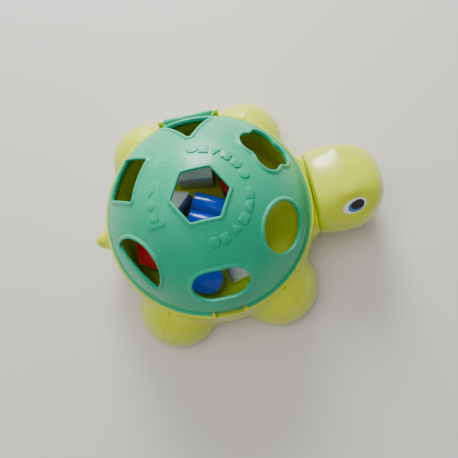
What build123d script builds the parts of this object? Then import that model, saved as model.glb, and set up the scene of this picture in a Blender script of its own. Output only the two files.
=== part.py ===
from build123d import *

import os
from math import atan2, cos, degrees, radians, sin, sqrt

# A turtle-shaped shape sorter. A hollow body carries a bowl, a hinged shell with seven shaped
# openings closes it, and the head turns on a spindle in the neck. +X points to the head, +Y to the
# turtle's left, +Z up, and the floor is z = 0. Lengths are in millimetres and angles in degrees.

os.makedirs("parts", exist_ok=True)

# ---------------------------------------------------------------- driving dimensions
wall = 2.4  # moulded wall of the body, shell and head
rim_z = 56.0  # height of the land that the shell rests on
running = 0.05  # radial clearance of the hinge pin and of the neck spindle

# shell
shell_r = 94.0  # outer radius of the dome at its rim
shell_h = 80.0  # height of the dome above its rim
shell_power = 1.73  # exponent of the dome's curve: 2 is an ellipse, less is more pointed
seat_gap = 0.3  # shell rim above the land
flange_out = 2.4  # flange beyond the dome
flange_h = 2.2
bead_w = 2.6  # raised bead around each opening
bead_h = 1.5
opening_r = shell_r - 20.5  # distance of the side openings from the shell axis
plaque_r = 43.0  # blank raised plaque on the side of the tail
plaque_size = (19.0, 38.0)
plaque_h = 1.0
cut_reach = 14.4  # cutting prisms on the dome run this far to both sides of it

# openings, each across its own shape
hexagon_r = 24.6
clover_lobe_r = 13.0
clover_spread = 12.5
triangle_r = 25.5
square_w = 39.5
moon_r = 26.0
moon_h = 29.5
stadium_l = 50.0
stadium_w = 33.5
disc_r = 23.0
corner_r = 2.0
side_openings = {"clover": 30, "triangle": 90, "square": 150, "moon": 210, "stadium": 270, "disc": 330}

# body: the land carries the shell's flange, and the waist bulges below it
land_r = shell_r + flange_out + 2.1
waist_r = land_r + 4.5
waist_z = 13.0
foot_r = waist_r - 2.5
leg_centre_r = waist_r - 10.5
leg_r = 40.0
leg_z = 6.0  # height of a leg's upright side
leg_rise = rim_z - leg_z - 4.0  # height of its rounded top above that
leg_turn = 57.0  # front legs from +X, and rear legs from -X
neck_half_w = 39.5
neck_reach = land_r + 1.3  # shell axis to the front face of the neck
neck_h = rim_z - 4.0
neck_round = 14.0
tail_reach = waist_r + 11.5  # shell axis to the tip of the tail
tail_z = rim_z - 18.0
tail_base_r = 15.0
tail_tip_r = 7.0
bowl_r = shell_r - 5.0  # inside of the bowl at the land
bowl_floor_r = bowl_r - 3.0
bowl_floor_z = 12.0
bowl_round = 6.0

# base cover and its screws
cover_gap = 0.4  # base cover to the inside of the skin
post_circle_r = leg_centre_r + 5.5  # screw posts from the shell axis, one in each leg
post_r = 4.6
post_z = 7.2  # lower end of the posts
cup_r = 6.0
cup_gap = 0.2  # post to the cup below it
screw_r = 1.45
screw_bore_r = screw_r + 0.05
screw_hole_r = screw_r + 0.25  # through the cover
screw_depth = 10.0
screw_head_r = 3.1
screw_head_h = 2.3
drive_l = 4.3  # cross recess in the screw's head
recess_h = 4.0
recess_r = screw_head_r + 0.5

# hinge on the +Y side and tongue on the -Y side
hinge_r = 2.4
hinge_y = shell_r + hinge_r + 0.9
hinge_z = rim_z + hinge_r + 1.1
hinge_half_l = 30.0
knuckle_half_l = 24.0  # half length of the shell's long middle knuckle
knuckle_gap = 0.5
pin_r = 1.0
lug_h = 12.0  # height of the body's lugs, which carry its two outer knuckles
lug_in = shell_r - 6  # how far in the lugs start, under the land
tongue_half_w = 12.0
tongue_t = 2.0
tongue_drop = 8.0
slot_half_w = tongue_half_w + 1.5
slot_in = shell_r - tongue_t - 0.3
slot_out = shell_r + 3.2
slot_depth = 4.8
flange_break = slot_half_w + 3.5  # half length of the break in the flange over the tongue

# head, built upright and then turned about the neck axis
head_roll = -17.0
neck_z = 36.0
head_centre = neck_reach + 25.2  # centre of the head's rounded form from the shell axis
head_half_l = 45.0
head_half_w = 43.5
head_half_h = 35.0
head_z = neck_z + 4.0
head_gap = 0.6  # neck face to the back of the head
spindle_r = 10.0
hub_r = spindle_r + 5.0
hub_t = 3.0
clip_t = 1.6
clip_gap = 0.3
clip_r = spindle_r + 3.5
clip_mouth = 12.8
groove_depth = 1.5
spindle_tail = 1.4  # spindle beyond its groove
eye_ahead = 10.0  # eyes from the head's centre
eye_angle = 32.0  # eyes above the horizontal, seen from the front
eye_l = 25.5
eye_w = 18.5
eye_tilt = 14.0
eye_proud = 0.9
eye_deep = 1.3
eye_gap = 0.1

# blocks: each is its opening less a clearance all round
block_l = 38.0
block_gap = 1.7
rest_gap = 0.3  # blocks above the bowl floor

floor_z = 0.0
below = -5.0  # cutting forms run this far under the floor
leg_angles = (leg_turn, -leg_turn, 180 - leg_turn, leg_turn - 180)
# shell axis, with the whole length centred on x = 0
shell_x = (tail_reach - head_centre - head_half_l) / 2

shell_axis = Axis((shell_x, 0, 0), (0, 0, 1))
side_view = Plane(origin=(shell_x, 0, 0), x_dir=(1, 0, 0), z_dir=(0, -1, 0))


def around(radius, angle, height=0.0):
    """A point at a radius and angle about the shell axis."""
    return (shell_x + radius * cos(radians(angle)), radius * sin(radians(angle)), height)


# ---------------------------------------------------------------- forms shared by several pieces
def body_form(inset):
    """The body's outer form, smaller by inset all round; an inset form runs below the floor."""
    base = floor_z if inset == 0 else below
    top = rim_z - inset
    with BuildPart(mode=Mode.PRIVATE) as form:
        with BuildSketch(side_view):
            with BuildLine():
                foot = (foot_r - inset, base)
                side = Spline(foot, (waist_r - inset, waist_z), (land_r - inset, top))
                Polyline(side @ 1, (0, top), (0, base), foot)
            make_face()
        revolve(axis=shell_axis)
        reach = leg_r - inset
        top_of_leg = leg_rise - inset
        turns = (radians(turn) for turn in (0, 25, 45, 65))
        shoulder = [(reach * sin(turn), leg_z + top_of_leg * cos(turn)) for turn in turns]
        for angle in leg_angles:
            centre = around(leg_centre_r, angle)
            with BuildSketch(Plane(origin=centre, x_dir=(1, 0, 0), z_dir=(0, -1, 0))):
                with BuildLine():
                    Spline(*shoulder, (reach, leg_z), tangents=((1, 0), (0, -1)))
                    Polyline((reach, leg_z), (reach, base), (0, base), shoulder[0])
                make_face()
            revolve(axis=Axis(centre, (0, 0, 1)))
        with BuildSketch(Plane.YZ.offset(shell_x + neck_reach - inset)):
            with Locations((0, base)):
                RectangleRounded(2 * (neck_half_w - inset), 2 * (neck_h - inset - base), neck_round - inset)
            with Locations((0, base + neck_h / 2)):
                Rectangle(4 * neck_half_w, neck_h, mode=Mode.INTERSECT)
        extrude(amount=-neck_half_w)
        tail_plane = Plane(origin=(shell_x, 0, tail_z), x_dir=(-1, 0, 0), z_dir=(0, 1, 0))
        with BuildSketch(tail_plane):
            with BuildLine():
                tip = CenterArc((tail_reach - tail_tip_r, 0), tail_tip_r - inset, 0, 75)
                Polyline(tip @ 1, (bowl_r, tail_base_r - inset), (bowl_r, 0), tip @ 0)
            make_face()
        revolve(axis=Axis((shell_x, 0, tail_z), (1, 0, 0)))
        # the front is cut flat, in one plane with the neck's face
        split(bisect_by=Plane.YZ.offset(shell_x + neck_reach - inset), keep=Keep.BOTTOM)
    return form.part


def bowl_form(growth):
    """The space inside the bowl, larger by growth all round and open at the top."""
    with BuildPart(mode=Mode.PRIVATE) as form:
        with BuildSketch(side_view):
            low = bowl_floor_z - growth
            with BuildLine():
                corner = (bowl_floor_r + growth, low)
                Polyline((0, low), corner, (bowl_r + growth, rim_z + wall), (0, rim_z + wall), close=True)
            make_face()
            fillet(vertices().sort_by_distance((*corner, 0))[0], bowl_round + growth)
        revolve(axis=shell_axis)
    return form.part


def dome_height(radius, growth):
    """Height of the dome above its rim at a radius, with its surface moved out by growth."""
    share = radius / (shell_r + growth)
    return (shell_h + growth) * (1 - share**shell_power) ** (1 / shell_power)


def dome_form(growth):
    """The dome, closed at its rim, with its surface moved out by growth."""
    base = rim_z + seat_gap
    outer = shell_r + growth
    shares = (0.0, 0.25, 0.45, 0.62, 0.77, 0.88, 0.96)
    crown = [(outer * share, base + dome_height(outer * share, growth)) for share in shares]
    with BuildPart(mode=Mode.PRIVATE) as form:
        with BuildSketch(side_view):
            with BuildLine():
                Spline(*crown, (outer, base), tangents=((1, 0), (0, -1)))
                Polyline((outer, base), (0, base), crown[0])
            make_face()
        revolve(axis=shell_axis)
    return form.part


def dome_plane(radius, angle):
    """A plane on the dome's surface: x runs round the shell, y up the slope and z outwards."""
    share = radius / shell_r
    height = dome_height(radius, 0)
    upward = (height / shell_h) ** (shell_power - 1) / shell_h
    outward = share ** (shell_power - 1) / shell_r
    lean = degrees(atan2(upward, outward))
    out = cos(radians(lean))
    normal = (out * cos(radians(angle)), out * sin(radians(angle)), sin(radians(lean)))
    round_shell = (-sin(radians(angle)), cos(radians(angle)), 0)
    return Plane(around(radius, angle, rim_z + seat_gap + height), x_dir=round_shell, z_dir=normal)


def shape_sketch(name, growth):
    """The flat outline of an opening, or with a negative growth that of its block."""
    with BuildSketch(Plane.XY, mode=Mode.PRIVATE) as outline:
        if name == "hexagon":
            RegularPolygon(hexagon_r, 6)
            fillet(vertices(), corner_r)
        elif name == "clover":
            with PolarLocations(clover_spread, 4, 45):
                Circle(clover_lobe_r)
            Rectangle(clover_spread, clover_spread)
        elif name == "triangle":
            RegularPolygon(triangle_r, 3, rotation=90)
            fillet(vertices(), corner_r)
        elif name == "square":
            RectangleRounded(square_w, square_w, corner_r)
        elif name == "moon":
            with Locations((0, moon_h / 2 - moon_r)):
                Circle(moon_r)
            Rectangle(2 * moon_r, moon_h, mode=Mode.INTERSECT)
            fillet(vertices().group_by(Axis.Y)[0], corner_r)
        elif name == "stadium":
            SlotOverall(stadium_l, stadium_w)
        elif name == "disc":
            Circle(disc_r)
        if growth:
            offset(amount=growth, kind=Kind.INTERSECTION if growth < 0 else Kind.ARC)
    return outline.sketch


def opening_plane(name):
    """The plane in which an opening's outline is drawn."""
    if name == "hexagon":
        return Plane(origin=(shell_x, 0, rim_z + seat_gap + shell_h), x_dir=(1, 0, 0), z_dir=(0, 0, 1))
    return dome_plane(opening_r, side_openings[name])


def opening_prism(name, growth):
    """A prism through the shell over an opening's outline."""
    with BuildPart(mode=Mode.PRIVATE) as prism:
        with BuildSketch(opening_plane(name)):
            add(shape_sketch(name, growth))
        extrude(amount=cut_reach, both=True)
    return prism.part


def ellipsoid(growth):
    """The head's rounded form, upright, with its surface moved out by growth."""
    with BuildPart(mode=Mode.PRIVATE) as form:
        Sphere(1)
        scale(by=(head_half_l + growth, head_half_w + growth, head_half_h + growth))
    return Pos(shell_x + head_centre, 0, head_z) * form.part


def eye_prism(side, growth):
    """A prism over one eye's oval; side is -1 for the right eye and 1 for the left."""
    ring = sqrt(1 - (eye_ahead / head_half_l) ** 2)
    flat = radians(eye_angle)
    spread = ring / sqrt((cos(flat) / head_half_w) ** 2 + (sin(flat) / head_half_h) ** 2)
    place = (eye_ahead, side * spread * cos(flat), spread * sin(flat))
    normal = (place[0] / head_half_l**2, place[1] / head_half_w**2, place[2] / head_half_h**2)
    origin = (shell_x + head_centre + place[0], place[1], head_z + place[2])
    with BuildPart(mode=Mode.PRIVATE) as prism:
        with BuildSketch(Plane(origin=origin, x_dir=(1, 0, 0), z_dir=normal)):
            Ellipse(eye_l / 2 + growth, eye_w / 2 + growth, rotation=-side * eye_tilt)
        extrude(amount=cut_reach, both=True)
    return prism.part


def turned(shape):
    """A finished head piece turned about the neck axis."""
    return shape.rotate(Axis((shell_x, 0, neck_z), (1, 0, 0)), head_roll)


def save(part, name):
    """Label a finished piece and write its file."""
    part.label = name
    export_step(part, f"parts/{name}.step")


# ---------------------------------------------------------------- body
body_outside = body_form(0)
body_inside = body_form(wall)
bowl_inside = bowl_form(0)
bowl_outside = bowl_form(wall)
posts = [around(post_circle_r, angle, post_z) for angle in leg_angles]

with BuildPart(mode=Mode.PRIVATE) as screw_posts:
    for post in posts:
        with BuildSketch(Plane.XY.offset(post_z)):
            with Locations(post[:2]):
                Circle(post_r)
        extrude(amount=rim_z - post_z)
    add(body_form(wall / 2), mode=Mode.INTERSECT)

with BuildPart() as upper_body:
    add(body_outside)
    add(body_inside - bowl_outside, mode=Mode.SUBTRACT)
    add(bowl_inside, mode=Mode.SUBTRACT)
    add(screw_posts.part)
    with BuildSketch(Plane.XY.offset(post_z)):
        with Locations(*[post[:2] for post in posts]):
            Circle(screw_bore_r)
    extrude(amount=screw_depth + 1, mode=Mode.SUBTRACT)
    # bearing for the neck spindle
    with BuildSketch(Plane.YZ.offset(shell_x + neck_reach + 1)):
        with Locations((0, neck_z)):
            Circle(spindle_r + running)
    extrude(amount=-2 * wall, mode=Mode.SUBTRACT)
    # outer knuckles of the shell hinge, on lugs that grow out of the land
    for side in (-1, 1):
        with BuildSketch(Plane.YZ.offset(shell_x + side * (knuckle_half_l + knuckle_gap))):
            with Locations((hinge_y, hinge_z)):
                Circle(hinge_r)
            with Locations((hinge_y, hinge_z - lug_h / 2)):
                Rectangle(2 * hinge_r, lug_h)
            with Locations(((lug_in + hinge_y) / 2, rim_z - lug_h / 2)):
                Rectangle(hinge_y - lug_in, lug_h)
        extrude(amount=side * (hinge_half_l - knuckle_half_l - knuckle_gap))
    with BuildSketch(Plane.YZ.offset(shell_x)):
        with Locations((hinge_y, hinge_z)):
            Circle(pin_r + running)
    extrude(amount=2 * hinge_half_l, both=True, mode=Mode.SUBTRACT)
    # slot for the shell's tongue
    with BuildSketch(Plane.XY.offset(rim_z - slot_depth)):
        with Locations((shell_x, -(slot_in + slot_out) / 2)):
            Rectangle(2 * slot_half_w, slot_out - slot_in)
    extrude(amount=2 * slot_depth, mode=Mode.SUBTRACT)
save(upper_body.part, "upper_body")

with BuildPart() as base_cover:
    add(body_form(wall + cover_gap))
    with BuildSketch(Plane.XY):
        with Locations((shell_x, 0)):
            Rectangle(4 * waist_r, 4 * waist_r)
    extrude(amount=wall, mode=Mode.INTERSECT)
    with BuildSketch(Plane.XY):
        with Locations(*[post[:2] for post in posts]):
            Circle(cup_r)
    extrude(amount=post_z - cup_gap)
    with BuildSketch(Plane.XY):
        with Locations(*[post[:2] for post in posts]):
            Circle(recess_r)
    extrude(amount=recess_h, mode=Mode.SUBTRACT)
    with BuildSketch(Plane.XY):
        with Locations(*[post[:2] for post in posts]):
            Circle(screw_hole_r)
    extrude(amount=post_z, mode=Mode.SUBTRACT)
save(base_cover.part, "base_cover")

with BuildPart() as cover_screws:
    with BuildSketch(Plane.XY.offset(recess_h - screw_head_h)):
        with Locations(*[post[:2] for post in posts]):
            Circle(screw_head_r)
    extrude(amount=screw_head_h)
    with BuildSketch(Plane.XY.offset(recess_h)):
        with Locations(*[post[:2] for post in posts]):
            Circle(screw_r)
    extrude(amount=post_z + screw_depth - recess_h)
    with BuildSketch(Plane.XY.offset(recess_h - screw_head_h)):
        with Locations(*[post[:2] for post in posts]):
            Rectangle(drive_l, screw_r / 2)
            Rectangle(screw_r / 2, drive_l)
    extrude(amount=screw_head_h / 2, mode=Mode.SUBTRACT)
save(cover_screws.part, "cover_screws")

# ---------------------------------------------------------------- shell
opening_names = ("hexagon", *side_openings)
dome_outside = dome_form(0)
dome_inside = dome_form(-wall)
bead_layer = dome_form(bead_h) - dome_form(-wall / 2)
shell_base = rim_z + seat_gap

with BuildPart() as shell:
    add(dome_outside)
    with BuildSketch(Plane.XY.offset(shell_base)):
        with Locations((shell_x, 0)):
            Circle(shell_r + flange_out)
        with Locations((shell_x, -shell_r)):
            Rectangle(2 * flange_break, 2 * flange_out + wall, mode=Mode.SUBTRACT)
    extrude(amount=flange_h)
    for name in opening_names:
        bead = opening_prism(name, bead_w) - opening_prism(name, 0)
        add(bead & bead_layer)
    with BuildSketch(dome_plane(plaque_r, 180)):
        RectangleRounded(plaque_size[1], plaque_size[0], corner_r)
    plaque = extrude(amount=cut_reach, both=True, mode=Mode.PRIVATE)
    add(plaque & (dome_form(plaque_h) - dome_form(-wall / 2)))
    # long middle knuckle of the hinge, on a web that grows out of the rim
    with BuildSketch(Plane.YZ.offset(shell_x)):
        with Locations((hinge_y, hinge_z)):
            Circle(hinge_r)
        with Locations(((shell_r - 4 * wall + hinge_y) / 2, hinge_z - wall / 2)):
            Rectangle(hinge_y - shell_r + 4 * wall, wall)
    extrude(amount=knuckle_half_l, both=True)
    with BuildSketch(Plane.YZ.offset(shell_x)):
        with Locations((hinge_y, hinge_z)):
            Circle(pin_r + running)
    extrude(amount=2 * hinge_half_l, both=True, mode=Mode.SUBTRACT)
    add(dome_inside, mode=Mode.SUBTRACT)
    for name in opening_names:
        add(opening_prism(name, 0), mode=Mode.SUBTRACT)
    # tongue that enters the body's slot
    with BuildSketch(Plane.XY.offset(shell_base - tongue_drop)):
        with Locations((shell_x, tongue_t / 2 - shell_r)):
            Rectangle(2 * tongue_half_w, tongue_t)
    extrude(amount=tongue_drop + flange_h)
save(shell.part, "shell")

with BuildPart() as hinge_pin:
    with BuildSketch(Plane.YZ.offset(shell_x - hinge_half_l)):
        with Locations((hinge_y, hinge_z)):
            Circle(pin_r)
    extrude(amount=2 * hinge_half_l)
save(hinge_pin.part, "hinge_pin")

# ---------------------------------------------------------------- head
head_back = shell_x + neck_reach + head_gap
spindle_end = shell_x + neck_reach - wall - clip_gap - clip_t - clip_gap - spindle_tail
groove_start = spindle_end + spindle_tail
sockets = [eye_prism(side, eye_gap) - ellipsoid(-eye_deep - eye_gap) for side in (-1, 1)]

with BuildPart() as head_shell:
    add(ellipsoid(0))
    split(bisect_by=Plane.YZ.offset(head_back), keep=Keep.TOP)
    with BuildPart(mode=Mode.PRIVATE) as head_hollow:
        add(ellipsoid(-wall - eye_deep))
        split(bisect_by=Plane.YZ.offset(head_back + wall), keep=Keep.TOP)
    add(head_hollow.part, mode=Mode.SUBTRACT)
    for socket in sockets:
        add(socket, mode=Mode.SUBTRACT)
    with BuildSketch(Plane.YZ.offset(head_back)):
        with Locations((0, neck_z)):
            Circle(spindle_r)
    extrude(amount=wall, mode=Mode.SUBTRACT)
save(turned(head_shell.part), "head_shell")

for side, eye_name in ((-1, "right_eye"), (1, "left_eye")):
    oval = eye_prism(side, 0)
    with BuildPart() as eye:
        add(ellipsoid(eye_proud))
        add(ellipsoid(-eye_deep), mode=Mode.SUBTRACT)
        add(oval, mode=Mode.INTERSECT)
    save(turned(eye.part.solids().sort_by_distance(oval.center())[0]), eye_name)

with BuildPart() as head_spindle:
    with BuildSketch(Plane.YZ.offset(spindle_end)):
        with Locations((0, neck_z)):
            Circle(spindle_r)
    extrude(amount=head_back + wall - spindle_end)
    with BuildSketch(Plane.YZ.offset(head_back + wall)):
        with Locations((0, neck_z)):
            Circle(hub_r)
    extrude(amount=hub_t)
    with BuildSketch(Plane.YZ.offset(groove_start)):
        with Locations((0, neck_z)):
            Circle(spindle_r)
            Circle(spindle_r - groove_depth, mode=Mode.SUBTRACT)
    extrude(amount=clip_t + clip_gap, mode=Mode.SUBTRACT)
save(head_spindle.part, "head_spindle")

with BuildPart() as neck_clip:
    with BuildSketch(Plane.YZ.offset(groove_start + clip_gap / 2)):
        with Locations((0, neck_z)):
            Circle(clip_r)
            Circle(spindle_r - groove_depth + running, mode=Mode.SUBTRACT)
        with Locations((0, neck_z - clip_r)):
            Rectangle(clip_mouth, 2 * clip_r, mode=Mode.SUBTRACT)
    extrude(amount=clip_t)
save(neck_clip.part, "neck_clip")

# ---------------------------------------------------------------- blocks
stand_z = bowl_floor_z + rest_gap
# where each upright block stands: in from the bowl's wall, angle round the bowl, turn
upright_blocks = {
    "hexagon": (27.1, 200.9, 27.5),
    "triangle": (45.2, 149.0, 162.0),
    "square": (30.3, 95.1, -8.0),
    "disc": (38.4, 39.0, 0.0),
    "stadium": (26.3, 248.4, -27.5),
}
for name, (inset, angle, turn) in upright_blocks.items():
    place = around(bowl_floor_r - inset, angle, stand_z)
    with BuildPart() as block:
        with BuildSketch(Plane(origin=place).rotated((0, 0, turn))):
            add(shape_sketch(name, -block_gap))
        extrude(amount=block_l)
    save(block.part, f"{name}_block")

# two blocks lie on their sides: in from the bowl's wall, angle round the bowl, turn of the block's length
lying_blocks = {"clover": (bowl_floor_r, 0.0, -27.5), "moon": (34.6, -58.9, -78.0)}
for name, (inset, angle, turn) in lying_blocks.items():
    outline = shape_sketch(name, -block_gap)
    place = around(bowl_floor_r - inset, angle, stand_z - outline.bounding_box().min.Y)
    along = (cos(radians(turn)), sin(radians(turn)), 0)
    across = (sin(radians(turn)), -cos(radians(turn)), 0)
    with BuildPart() as block:
        with BuildSketch(Plane(origin=place, x_dir=across, z_dir=along)):
            add(outline)
        extrude(amount=block_l / 2, both=True)
    save(block.part, f"{name}_block")
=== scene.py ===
"""The looks of a turtle-shaped shape sorter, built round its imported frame.

The shell, body, head, eyes and blocks are modelled here and stand for their plain frame nodes. The
inner hardware keeps its frame nodes and gets its finish here. Sizes are in millimetres, and a piece
becomes metres when it is finished. +X points to the head, +Y to the turtle's left and +Z up.
"""

import logging
from collections.abc import Callable, Iterator, Sequence
from contextlib import contextmanager
from dataclasses import dataclass
from enum import Enum
from math import atan2, cos, hypot, inf, pi, radians, sin, sqrt

import bmesh
import bpy
from mathutils import Matrix, Vector


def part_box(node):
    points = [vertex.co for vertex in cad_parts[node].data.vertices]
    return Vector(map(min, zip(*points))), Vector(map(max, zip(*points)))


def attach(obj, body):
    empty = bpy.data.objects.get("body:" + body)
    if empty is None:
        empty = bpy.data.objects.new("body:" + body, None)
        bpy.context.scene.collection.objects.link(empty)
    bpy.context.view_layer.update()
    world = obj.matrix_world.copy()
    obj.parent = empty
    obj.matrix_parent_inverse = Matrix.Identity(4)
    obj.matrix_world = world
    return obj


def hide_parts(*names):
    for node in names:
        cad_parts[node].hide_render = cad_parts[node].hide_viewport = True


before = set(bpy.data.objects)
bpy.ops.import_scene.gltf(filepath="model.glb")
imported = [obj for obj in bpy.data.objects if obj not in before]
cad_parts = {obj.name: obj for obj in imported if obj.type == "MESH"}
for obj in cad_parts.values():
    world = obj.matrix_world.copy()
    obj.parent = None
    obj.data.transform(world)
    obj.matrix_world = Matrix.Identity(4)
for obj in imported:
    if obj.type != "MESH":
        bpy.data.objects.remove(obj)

log = logging.getLogger("shape_sorter")
MM = 0.001
CLOSE = 1e-4  # where a search along a line stops
FAR = 80.0  # past every outline's edge
LOBED_START = 8.0  # inside a lobed outline in every direction
LAY_REACH = 30.0  # how far a point may travel on to the dome
ROD_SIDES = 96
HINGE_RISE = 3.2  # the hinge's axis above the dome's foot
COLOUR_A, COLOUR_B, COLOUR_RESULT = 6, 7, 2  # the colour sockets of a Mix node
Rule = Callable[[Vector], Vector]
StepRule = Callable[[Vector, float, float], Vector]
Pair = tuple[float, float]
Colour = tuple[float, float, float]
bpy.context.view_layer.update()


# ---------------------------------------------------------------- modelling
class Element(Enum):
    """What is picked in edit mode."""

    VERTEX = "VERT"
    EDGE = "EDGE"
    FACE = "FACE"


class Piece:
    """A mesh worked with Blender's operators, in millimetres until it is finished."""

    def __init__(self, thing: bpy.types.Object) -> None:
        """Takes over an object that stands at the origin."""
        self.thing = thing

    @classmethod
    def add(cls, name: str, operator: Callable, **settings: object) -> "Piece":
        """Adds a primitive and puts its place into its mesh.

        Args:
            name: The object's name.
            operator: The operator that adds the primitive.
            settings: The operator's own settings.

        Returns:
            The new piece.
        """
        bpy.ops.object.select_all(action="DESELECT")
        operator(**settings)
        thing = bpy.context.object
        thing.name = thing.data.name = name
        bpy.ops.object.transform_apply(location=True, rotation=True, scale=True)
        return cls(thing)

    @classmethod
    def loop(cls, name: str, points: Sequence[Vector]) -> "Piece":
        """Adds a circle of edges and lays it along a closed run of points.

        Args:
            name: The object's name.
            points: The run's points in order.

        Returns:
            The new piece.
        """
        piece = cls.add(name, bpy.ops.mesh.primitive_circle_add, vertices=len(points))
        for vertex, point in zip(piece.thing.data.vertices, points):
            vertex.co = point
        return piece

    @classmethod
    def spun(cls, name: str, profile: Sequence[Pair], x: float, steps: int) -> "Piece":
        """Spins a closed profile of (radius, height) points about a vertical axis at y = 0.

        Args:
            name: The object's name.
            profile: The profile's points in order.
            x: Where the axis stands.
            steps: Facets round the axis.

        Returns:
            The closed, outward-facing piece.
        """
        piece = cls.loop(name, [Vector((x + radius, 0, height)) for radius, height in profile])
        with piece.editing():
            bpy.ops.mesh.select_all(action="SELECT")
            bpy.ops.mesh.spin(steps=steps, angle=2 * pi, center=(x, 0, 0), axis=(0, 0, 1))
        return piece.tidied()

    @classmethod
    def box(
        cls, name: str, low: Sequence[float], high: Sequence[float], rounding: float = 0.0
    ) -> "Piece":
        """Adds a box between two corners, with its edges rounded.

        Args:
            name: The object's name.
            low: The lowest corner.
            high: The highest corner.
            rounding: The radius of the edges, or 0 for sharp ones.

        Returns:
            The new piece.
        """
        centre = [(a + b) / 2 for a, b in zip(low, high)]
        size = [b - a for a, b in zip(low, high)]
        piece = cls.add(name, bpy.ops.mesh.primitive_cube_add, size=1, location=centre, scale=size)
        return piece.modify("BEVEL", width=rounding, segments=4) if rounding else piece

    @classmethod
    def rod(cls, name: str, start: Sequence[float], end: Sequence[float], radius: float) -> "Piece":
        """Adds a round rod between two points.

        Args:
            name: The object's name.
            start: The middle of one end.
            end: The middle of the other end.
            radius: The rod's radius.

        Returns:
            The new piece.
        """
        line = Vector(end) - Vector(start)
        settings = {"vertices": ROD_SIDES, "radius": radius, "depth": line.length}
        piece = cls.add(name, bpy.ops.mesh.primitive_cylinder_add, **settings)
        middle = Matrix.Translation((Vector(start) + Vector(end)) / 2)
        return piece.moved(middle @ line.to_track_quat("Z", "Y").to_matrix().to_4x4())

    def activate(self) -> None:
        """Makes this the one selected and active object."""
        bpy.ops.object.select_all(action="DESELECT")
        self.thing.select_set(True)
        bpy.context.view_layer.objects.active = self.thing

    @contextmanager
    def editing(self, element: Element = Element.VERTEX) -> Iterator[None]:
        """Stays in edit mode, with nothing selected at first.

        Args:
            element: What is picked.
        """
        self.activate()
        bpy.ops.object.mode_set(mode="EDIT")
        bpy.ops.mesh.select_mode(type=element.value)
        bpy.ops.mesh.select_all(action="DESELECT")
        yield
        bpy.ops.object.mode_set(mode="OBJECT")

    def pick(self, element: Element, test: Callable[[object], bool]) -> None:
        """Adds to the selection every element that passes a test, in edit mode.

        Args:
            element: What is picked.
            test: Whether an element is picked.
        """
        cage = bmesh.from_edit_mesh(self.thing.data)
        groups = {Element.VERTEX: cage.verts, Element.EDGE: cage.edges, Element.FACE: cage.faces}
        for item in groups[element]:
            if test(item):
                item.select_set(True)
        cage.select_flush_mode()
        bmesh.update_edit_mesh(self.thing.data)

    def place_picked(self, rule: Rule) -> None:
        """Moves the selected vertices by a rule, in edit mode.

        Args:
            rule: Gives a vertex's new place from its old one.
        """
        cage = bmesh.from_edit_mesh(self.thing.data)
        for vertex in cage.verts:
            if vertex.select:
                vertex.co = rule(vertex.co)
        bmesh.update_edit_mesh(self.thing.data)

    def shape(self, rule: Rule) -> "Piece":
        """Moves every vertex by a rule.

        Args:
            rule: Gives a vertex's new place from its old one.

        Returns:
            The piece itself.
        """
        for vertex in self.thing.data.vertices:
            vertex.co = rule(vertex.co)
        return self

    def moved(self, matrix: Matrix) -> "Piece":
        """Moves the whole mesh by a matrix."""
        self.thing.data.transform(matrix)
        return self

    def modify(self, kind: str, **settings: object) -> "Piece":
        """Adds a modifier, sets it and applies it.

        Args:
            kind: The modifier's type.
            settings: The modifier's own settings.

        Returns:
            The piece itself.
        """
        self.activate()
        modifier = self.thing.modifiers.new(kind.lower(), kind)
        for name, value in settings.items():
            setattr(modifier, name, value)
        bpy.ops.object.modifier_apply(modifier=modifier.name)
        return self

    def bevel_corners(self, width: float) -> "Piece":
        """Rounds the edges that turn by more than 60 degrees.

        Args:
            width: The bevel's width.

        Returns:
            The piece itself.
        """
        corners = {"limit_method": "ANGLE", "angle_limit": radians(60)}
        return self.modify("BEVEL", width=width, segments=3, **corners)

    def combine(self, tool: "Piece", operation: str) -> "Piece":
        """Joins, cuts or intersects with a tool, which is used up.

        Args:
            tool: The piece that is used up.
            operation: UNION, DIFFERENCE or INTERSECT.

        Returns:
            The piece itself.
        """
        self.modify("BOOLEAN", operation=operation, solver="EXACT", object=tool.thing)
        bpy.data.objects.remove(tool.thing)
        return self

    def join(self, others: Sequence["Piece"]) -> "Piece":
        """Takes other pieces' meshes into this object as they are.

        Args:
            others: The pieces that are taken in.

        Returns:
            The piece itself.
        """
        self.activate()
        for other in others:
            other.thing.select_set(True)
        bpy.ops.object.join()
        return self

    def sliced(self, point: Sequence[float], away: Sequence[float]) -> "Piece":
        """Cuts off what lies beyond a plane, and closes the cut.

        Args:
            point: A point of the plane.
            away: The plane's normal, towards what is cut off.

        Returns:
            The piece itself.
        """
        with self.editing():
            bpy.ops.mesh.select_all(action="SELECT")
            bpy.ops.mesh.bisect(plane_co=point, plane_no=away, use_fill=True, clear_outer=True)
        return self

    def tidied(self) -> "Piece":
        """Merges doubled vertices and turns every face outwards."""
        with self.editing():
            bpy.ops.mesh.select_all(action="SELECT")
            bpy.ops.mesh.remove_doubles(threshold=0.001)
            bpy.ops.mesh.normals_make_consistent(inside=False)
        return self

    def fill_picked(self) -> None:
        """Closes the one loop that the mesh still is with a face, in edit mode."""
        bpy.ops.mesh.select_all(action="SELECT")
        bpy.ops.mesh.edge_face_add()

    def extruded_along(self, place: StepRule, steps: Sequence[Pair]) -> None:
        """Extrudes the selected loop once for each step, in edit mode.

        Args:
            place: Gives a vertex's new position from its old one and a step's two numbers.
            steps: Pairs of numbers, one for each new loop.
        """
        for first, second in steps:
            bpy.ops.mesh.extrude_edges_indiv()
            self.place_picked(lambda point, a=first, b=second: place(point, a, b))

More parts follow.
